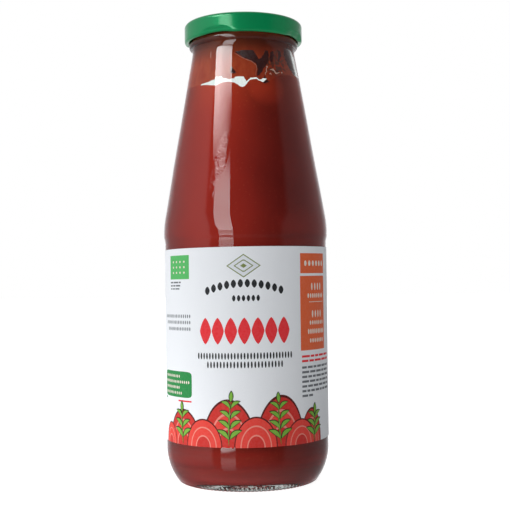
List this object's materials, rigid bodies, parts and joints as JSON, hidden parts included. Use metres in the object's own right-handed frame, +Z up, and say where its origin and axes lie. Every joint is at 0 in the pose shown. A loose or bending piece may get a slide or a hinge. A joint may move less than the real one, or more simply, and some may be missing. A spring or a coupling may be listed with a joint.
{
  "type": "passata bottle",
  "caption": "Full glass bottle of passata with a tapering neck, a screwed-down metal cap and a paper label wrapped round the body.",
  "frame": {"origin": "middle of the flat ring that the bottle stands on", "axes": "+Z up along the bottle's axis, the label's front faces -Y"},
  "size_m": [0.0786, 0.0786, 0.2195],
  "materials": {
    "glass": "clear pressed and blown flint glass",
    "passata": "wet sieved tomato",
    "paper": "coated paper printed with plain colour fields",
    "lacquer": "glossy green lacquer on tinplate"
  },
  "bodies": {
    "root": {"bottle": "glass", "passata": "passata", "label": "paper", "cap": "lacquer"}
  },
  "joints": []
}
